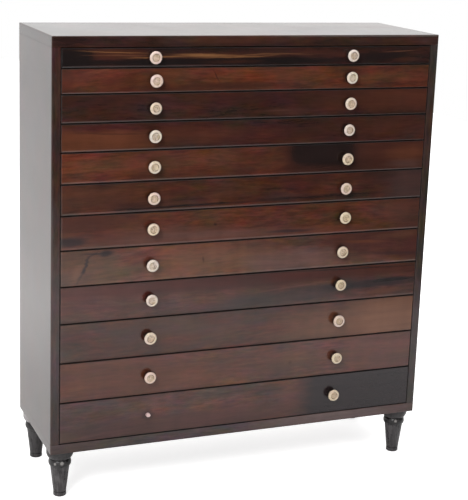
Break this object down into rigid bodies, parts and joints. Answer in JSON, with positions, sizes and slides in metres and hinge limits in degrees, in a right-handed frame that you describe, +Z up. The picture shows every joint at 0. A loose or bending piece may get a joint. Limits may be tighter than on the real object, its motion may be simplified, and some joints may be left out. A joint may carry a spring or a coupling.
{
  "type": "collectors chest",
  "caption": "Shallow case of graduated full-width drawers with turned bone knobs, standing on short turned legs.",
  "frame": {"origin": "on the floor, under the centre of the overall box, knobs included", "axes": "+Z up, front and knobs towards -Y, +X to the viewer's right"},
  "size_m": [0.8, 0.278, 0.909],
  "materials": {
    "back_pine": "bare pine, darkened",
    "bone": "turned bone, rubbed smooth",
    "carcase_mahogany": "old polished mahogany, faded",
    "front_faded_brown": "faded figured mahogany, polished",
    "front_near_black": "dark figured mahogany, polished",
    "front_plum_brown": "plum-brown mahogany, polished",
    "front_red_brown": "red-brown figured mahogany, polished",
    "tray_oak": "bare oak, waxed by use",
    "turned_legs": "ebonised, polished"
  },
  "bodies": {
    "case": {"back_board_left": "back_pine", "back_board_middle": "back_pine", "back_board_right": "back_pine", "carcase_bottom": "carcase_mahogany", "carcase_side_left": "carcase_mahogany", "carcase_side_right": "carcase_mahogany", "carcase_top": "carcase_mahogany", "leg_back_left": "turned_legs", "leg_back_right": "turned_legs", "leg_front_left": "turned_legs", "leg_front_right": "turned_legs"},
    "drawer_01": {"drawer_01_front": "front_near_black", "drawer_01_knob_left": "bone", "drawer_01_knob_right": "bone", "drawer_01_tray": "tray_oak"},
    "drawer_02": {"drawer_02_front": "front_red_brown", "drawer_02_knob_left": "bone", "drawer_02_knob_right": "bone", "drawer_02_tray": "tray_oak"},
    "drawer_03": {"drawer_03_front": "front_plum_brown", "drawer_03_knob_left": "bone", "drawer_03_knob_right": "bone", "drawer_03_tray": "tray_oak"},
    "drawer_04": {"drawer_04_front": "front_red_brown", "drawer_04_knob_left": "bone", "drawer_04_knob_right": "bone", "drawer_04_tray": "tray_oak"},
    "drawer_05": {"drawer_05_front": "front_red_brown", "drawer_05_knob_left": "bone", "drawer_05_knob_right": "bone", "drawer_05_tray": "tray_oak"},
    "drawer_06": {"drawer_06_front": "front_plum_brown", "drawer_06_knob_left": "bone", "drawer_06_knob_right": "bone", "drawer_06_tray": "tray_oak"},
    "drawer_07": {"drawer_07_front": "front_red_brown", "drawer_07_knob_left": "bone", "drawer_07_knob_right": "bone", "drawer_07_tray": "tray_oak"},
    "drawer_08": {"drawer_08_front": "front_faded_brown", "drawer_08_knob_left": "bone", "drawer_08_knob_right": "bone", "drawer_08_tray": "tray_oak"},
    "drawer_09": {"drawer_09_front": "front_plum_brown", "drawer_09_knob_left": "bone", "drawer_09_knob_right": "bone", "drawer_09_tray": "tray_oak"},
    "drawer_10": {"drawer_10_front": "front_faded_brown", "drawer_10_knob_left": "bone", "drawer_10_knob_right": "bone", "drawer_10_tray": "tray_oak"},
    "drawer_11": {"drawer_11_front": "front_faded_brown", "drawer_11_knob_left": "bone", "drawer_11_knob_right": "bone", "drawer_11_tray": "tray_oak"},
    "drawer_12": {"drawer_12_front": "front_faded_brown", "drawer_12_knob_left": "bone", "drawer_12_knob_right": "bone", "drawer_12_tray": "tray_oak"}
  },
  "joints": [
    {"name": "drawer_01_slide", "type": "slide", "parent": "case", "child": "drawer_01", "axis": [0, -1, 0], "range_m": [0, 0.176]},
    {"name": "drawer_02_slide", "type": "slide", "parent": "case", "child": "drawer_02", "axis": [0, -1, 0], "range_m": [0, 0.176]},
    {"name": "drawer_03_slide", "type": "slide", "parent": "case", "child": "drawer_03", "axis": [0, -1, 0], "range_m": [0, 0.176]},
    {"name": "drawer_04_slide", "type": "slide", "parent": "case", "child": "drawer_04", "axis": [0, -1, 0], "range_m": [0, 0.176]},
    {"name": "drawer_05_slide", "type": "slide", "parent": "case", "child": "drawer_05", "axis": [0, -1, 0], "range_m": [0, 0.176]},
    {"name": "drawer_06_slide", "type": "slide", "parent": "case", "child": "drawer_06", "axis": [0, -1, 0], "range_m": [0, 0.176]},
    {"name": "drawer_07_slide", "type": "slide", "parent": "case", "child": "drawer_07", "axis": [0, -1, 0], "range_m": [0, 0.176]},
    {"name": "drawer_08_slide", "type": "slide", "parent": "case", "child": "drawer_08", "axis": [0, -1, 0], "range_m": [0, 0.176]},
    {"name": "drawer_09_slide", "type": "slide", "parent": "case", "child": "drawer_09", "axis": [0, -1, 0], "range_m": [0, 0.176]},
    {"name": "drawer_10_slide", "type": "slide", "parent": "case", "child": "drawer_10", "axis": [0, -1, 0], "range_m": [0, 0.176]},
    {"name": "drawer_11_slide", "type": "slide", "parent": "case", "child": "drawer_11", "axis": [0, -1, 0], "range_m": [0, 0.176]},
    {"name": "drawer_12_slide", "type": "slide", "parent": "case", "child": "drawer_12", "axis": [0, -1, 0], "range_m": [0, 0.176]}
  ]
}
